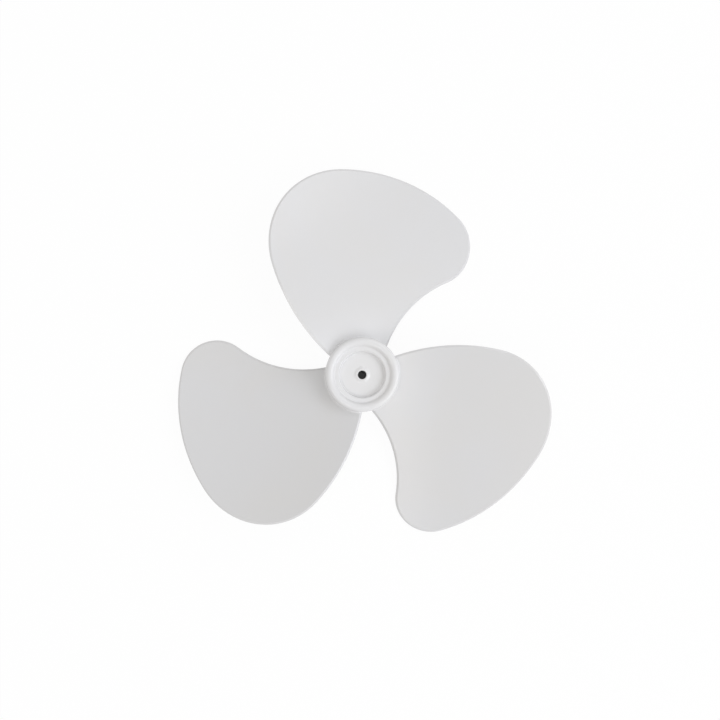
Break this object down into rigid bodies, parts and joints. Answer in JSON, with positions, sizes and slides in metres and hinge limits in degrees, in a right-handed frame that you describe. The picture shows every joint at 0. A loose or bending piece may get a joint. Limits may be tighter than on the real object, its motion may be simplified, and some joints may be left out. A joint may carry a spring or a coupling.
{
  "type": "fan blade",
  "caption": "Moulded plastic propeller for a table or stand fan: broad swept blades, twisted and hollowed to the front, on a cup hub with a dished face, a shaft bore and a rear drive slot.",
  "frame": {"origin": "on the axis of the shaft bore, in the plane of the hub's rear rim, where the bore opens", "axes": "+Z along the bore to the dished front of the hub, the side the air leaves; +Y along the first blade; +X to the right seen from the front"},
  "size_m": [0.3815, 0.369, 0.0529],
  "materials": {
    "white_plastic": "smooth moulded gloss"
  },
  "bodies": {
    "root": {"fan_blade": "white_plastic"}
  },
  "joints": []
}
